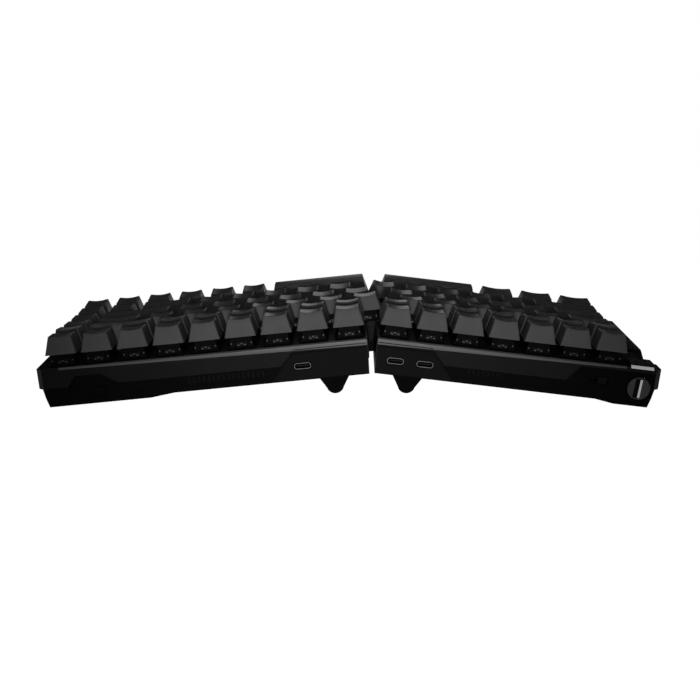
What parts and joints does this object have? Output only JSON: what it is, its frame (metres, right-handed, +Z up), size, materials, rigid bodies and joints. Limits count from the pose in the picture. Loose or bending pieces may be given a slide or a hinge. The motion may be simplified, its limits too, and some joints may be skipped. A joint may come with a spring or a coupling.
{
  "type": "ergonomic split keyboard",
  "caption": "Low split keyboard in two tented halves with floating dished keys, fold-out tenting feet, a side control roller and rear sockets.",
  "frame": {"origin": "under the middle of the whole object, on the desk plane", "axes": "+X to the typist's right, +Y to the rear where the sockets are, +Z up from the desk"},
  "size_m": [0.3288, 0.1221, 0.0537],
  "materials": {
    "cap_plastic": "fine matte texture, dished tops",
    "case_dark": "fine matte texture",
    "case_top": "satin",
    "plate_steel": "black painted sheet",
    "board": "dark solder resist",
    "switch_plastic": "smooth moulded",
    "bright_steel": "bright plated",
    "cell_wrap": "wrapped pouch cell",
    "pad_rubber": "matte rubber",
    "foot_plastic": "matte with soft tip",
    "bright_aluminium": "satin with polished edges",
    "control_plastic": "satin"
  },
  "bodies": {
    "left_half": {"left_bottom_case": "case_dark", "left_top_case": "case_top", "left_switch_plate": "plate_steel", "left_circuit_board": "board", "left_switches": "switch_plastic", "left_stabilisers": "switch_plastic", "left_port_panel": "case_dark", "left_usb_sockets": "bright_steel", "left_battery": "cell_wrap", "left_foot_pads": "pad_rubber", "left_case_screws": "bright_steel", "left_foot_pins": "bright_steel", "roller_encoder": "switch_plastic", "corner_trim": "bright_aluminium", "mode_switch": "switch_plastic"},
    "right_half": {"right_bottom_case": "case_dark", "right_top_case": "case_top", "right_switch_plate": "plate_steel", "right_circuit_board": "board", "right_switches": "switch_plastic", "right_stabilisers": "switch_plastic", "right_port_panel": "case_dark", "right_usb_socket": "bright_steel", "right_battery": "cell_wrap", "right_foot_pads": "pad_rubber", "right_case_screws": "bright_steel", "right_foot_pins": "bright_steel"},
    "left_rear_foot": {"left_rear_foot": "foot_plastic"},
    "left_front_foot": {"left_front_foot": "foot_plastic"},
    "control_roller": {"control_roller": "bright_aluminium"},
    "corner_button": {"corner_button": "control_plastic"},
    "mode_slider": {"mode_slider": "control_plastic"},
    "key_escape": {"key_escape": "cap_plastic"},
    "keys_left_function": {"keys_left_function": "cap_plastic"},
    "keys_left_number": {"keys_left_number": "cap_plastic"},
    "key_tab": {"key_tab": "cap_plastic"},
    "keys_left_upper": {"keys_left_upper": "cap_plastic"},
    "key_caps": {"key_caps": "cap_plastic"},
    "keys_left_home": {"keys_left_home": "cap_plastic"},
    "key_left_shift": {"key_left_shift": "cap_plastic"},
    "keys_left_lower": {"keys_left_lower": "cap_plastic"},
    "keys_left_modifier": {"keys_left_modifier": "cap_plastic"},
    "key_left_space": {"key_left_space": "cap_plastic"},
    "right_rear_foot": {"right_rear_foot": "foot_plastic"},
    "right_front_foot": {"right_front_foot": "foot_plastic"},
    "receiver": {"receiver": "control_plastic"},
    "keys_right_function": {"keys_right_function": "cap_plastic"},
    "keys_right_system": {"keys_right_system": "cap_plastic"},
    "keys_right_number": {"keys_right_number": "cap_plastic"},
    "key_backspace": {"key_backspace": "cap_plastic"},
    "keys_right_upper": {"keys_right_upper": "cap_plastic"},
    "key_backslash": {"key_backslash": "cap_plastic"},
    "keys_right_home": {"keys_right_home": "cap_plastic"},
    "key_enter": {"key_enter": "cap_plastic"},
    "keys_right_lower": {"keys_right_lower": "cap_plastic"},
    "key_right_shift": {"key_right_shift": "cap_plastic"},
    "key_right_space": {"key_right_space": "cap_plastic"},
    "keys_right_modifier": {"keys_right_modifier": "cap_plastic"},
    "keys_arrow": {"keys_arrow": "cap_plastic"},
    "keys_navigation": {"keys_navigation": "cap_plastic"}
  },
  "joints": [
    {"name": "half_slide", "type": "slide", "parent": "left_half", "child": "right_half", "axis": [1, 0, 0], "range_m": [0, 0.25]},
    {"name": "key_escape_press", "type": "slide", "parent": "left_half", "child": "key_escape", "axis": [0.1206, 0.0523, -0.9913], "range_m": [0, 0.0035], "stiffness_N_per_m": 120, "springref_m": -0.004},
    {"name": "keys_left_function_press", "type": "slide", "parent": "left_half", "child": "keys_left_function", "axis": [0.1206, 0.0523, -0.9913], "range_m": [0, 0.0035], "stiffness_N_per_m": 720, "springref_m": -0.004},
    {"name": "keys_left_number_press", "type": "slide", "parent": "left_half", "child": "keys_left_number", "axis": [0.1206, 0.0523, -0.9913], "range_m": [0, 0.0035], "stiffness_N_per_m": 840, "springref_m": -0.004},
    {"name": "key_tab_press", "type": "slide", "parent": "left_half", "child": "key_tab", "axis": [0.1206, 0.0523, -0.9913], "range_m": [0, 0.0035], "stiffness_N_per_m": 120, "springref_m": -0.004},
    {"name": "keys_left_upper_press", "type": "slide", "parent": "left_half", "child": "keys_left_upper", "axis": [0.1206, 0.0523, -0.9913], "range_m": [0, 0.0035], "stiffness_N_per_m": 600, "springref_m": -0.004},
    {"name": "key_caps_press", "type": "slide", "parent": "left_half", "child": "key_caps", "axis": [0.1206, 0.0523, -0.9913], "range_m": [0, 0.0035], "stiffness_N_per_m": 120, "springref_m": -0.004},
    {"name": "keys_left_home_press", "type": "slide", "parent": "left_half", "child": "keys_left_home", "axis": [0.1206, 0.0523, -0.9913], "range_m": [0, 0.0035], "stiffness_N_per_m": 600, "springref_m": -0.004},
    {"name": "key_left_shift_press", "type": "slide", "parent": "left_half", "child": "key_left_shift", "axis": [0.1206, 0.0523, -0.9913], "range_m": [0, 0.0035], "stiffness_N_per_m": 120, "springref_m": -0.004},
    {"name": "keys_left_lower_press", "type": "slide", "parent": "left_half", "child": "keys_left_lower", "axis": [0.1206, 0.0523, -0.9913], "range_m": [0, 0.0035], "stiffness_N_per_m": 600, "springref_m": -0.004},
    {"name": "keys_left_modifier_press", "type": "slide", "parent": "left_half", "child": "keys_left_modifier", "axis": [0.1206, 0.0523, -0.9913], "range_m": [0, 0.0035], "stiffness_N_per_m": 360, "springref_m": -0.004},
    {"name": "key_left_space_press", "type": "slide", "parent": "left_half", "child": "key_left_space", "axis": [0.1206, 0.0523, -0.9913], "range_m": [0, 0.0035], "stiffness_N_per_m": 120, "springref_m": -0.004},
    {"name": "left_rear_foot_fold", "type": "hinge", "parent": "left_half", "child": "left_rear_foot", "pos_m": [-0.03356, 0.03137, 0.02019], "axis": [0.9927, 0, 0.1208], "range_deg": [0, 90]},
    {"name": "left_front_foot_fold", "type": "hinge", "parent": "left_half", "child": "left_front_foot", "pos_m": [-0.03356, -0.02563, 0.02019], "axis": [0.9927, 0, 0.1208], "range_deg": [0, 90]},
    {"name": "keys_right_function_press", "type": "slide", "parent": "right_half", "child": "keys_right_function", "axis": [-0.1006, 0.0523, -0.9935], "range_m": [0, 0.0035], "stiffness_N_per_m": 720, "springref_m": -0.004},
    {"name": "keys_right_system_press", "type": "slide", "parent": "right_half", "child": "keys_right_system", "axis": [-0.1006, 0.0523, -0.9935], "range_m": [0, 0.0035], "stiffness_N_per_m": 360, "springref_m": -0.004},
    {"name": "keys_right_number_press", "type": "slide", "parent": "right_half", "child": "keys_right_number", "axis": [-0.1006, 0.0523, -0.9935], "range_m": [0, 0.0035], "stiffness_N_per_m": 720, "springref_m": -0.004},
    {"name": "key_backspace_press", "type": "slide", "parent": "right_half", "child": "key_backspace", "axis": [-0.1006, 0.0523, -0.9935], "range_m": [0, 0.0035], "stiffness_N_per_m": 120, "springref_m": -0.004},
    {"name": "keys_right_upper_press", "type": "slide", "parent": "right_half", "child": "keys_right_upper", "axis": [-0.1006, 0.0523, -0.9935], "range_m": [0, 0.0035], "stiffness_N_per_m": 840, "springref_m": -0.004},
    {"name": "key_backslash_press", "type": "slide", "parent": "right_half", "child": "key_backslash", "axis": [-0.1006, 0.0523, -0.9935], "range_m": [0, 0.0035], "stiffness_N_per_m": 120, "springref_m": -0.004},
    {"name": "keys_right_home_press", "type": "slide", "parent": "right_half", "child": "keys_right_home", "axis": [-0.1006, 0.0523, -0.9935], "range_m": [0, 0.0035], "stiffness_N_per_m": 720, "springref_m": -0.004},
    {"name": "key_enter_press", "type": "slide", "parent": "right_half", "child": "key_enter", "axis": [-0.1006, 0.0523, -0.9935], "range_m": [0, 0.0035], "stiffness_N_per_m": 120, "springref_m": -0.004},
    {"name": "keys_right_lower_press", "type": "slide", "parent": "right_half", "child": "keys_right_lower", "axis": [-0.1006, 0.0523, -0.9935], "range_m": [0, 0.0035], "stiffness_N_per_m": 600, "springref_m": -0.004},
    {"name": "key_right_shift_press", "type": "slide", "parent": "right_half", "child": "key_right_shift", "axis": [-0.1006, 0.0523, -0.9935], "range_m": [0, 0.0035], "stiffness_N_per_m": 120, "springref_m": -0.004},
    {"name": "key_right_space_press", "type": "slide", "parent": "right_half", "child": "key_right_space", "axis": [-0.1006, 0.0523, -0.9935], "range_m": [0, 0.0035], "stiffness_N_per_m": 120, "springref_m": -0.004},
    {"name": "keys_right_modifier_press", "type": "slide", "parent": "right_half", "child": "keys_right_modifier", "axis": [-0.1006, 0.0523, -0.9935], "range_m": [0, 0.0035], "stiffness_N_per_m": 360, "springref_m": -0.004},
    {"name": "keys_arrow_press", "type": "slide", "parent": "right_half", "child": "keys_arrow", "axis": [-0.1006, 0.0523, -0.9935], "range_m": [0, 0.0035], "stiffness_N_per_m": 480, "springref_m": -0.004},
    {"name": "keys_navigation_press", "type": "slide", "parent": "right_half", "child": "keys_navigation", "axis": [-0.1006, 0.0523, -0.9935], "range_m": [0, 0.0035], "stiffness_N_per_m": 480, "springref_m": -0.004},
    {"name": "right_rear_foot_fold", "type": "hinge", "parent": "right_half", "child": "right_rear_foot", "pos_m": [0.00873, 0.03137, 0.02022], "axis": [0.9949, 0, -0.1008], "range_deg": [0, 90]},
    {"name": "right_front_foot_fold", "type": "hinge", "parent": "right_half", "child": "right_front_foot", "pos_m": [0.00873, -0.02563, 0.02022], "axis": [0.9949, 0, -0.1008], "range_deg": [0, 90]},
    {"name": "roller_turn", "type": "hinge", "parent": "left_half", "child": "control_roller", "pos_m": [-0.15262, 0.05714, 0.01093], "axis": [-0.0063, 0.9986, 0.052], "continuous": true},
    {"name": "corner_button_press", "type": "slide", "parent": "left_half", "child": "corner_button", "axis": [0.1206, 0.0523, -0.9913], "range_m": [0, 0.0008], "stiffness_N_per_m": 500, "springref_m": -0.001},
    {"name": "mode_slide", "type": "slide", "parent": "left_half", "child": "mode_slider", "axis": [0.9927, 0, 0.1208], "range_m": [0, 0.006]},
    {"name": "receiver_slide", "type": "slide", "parent": "right_half", "child": "receiver", "axis": [0.0053, 0.9986, 0.0521], "range_m": [0, 0.012]}
  ]
}
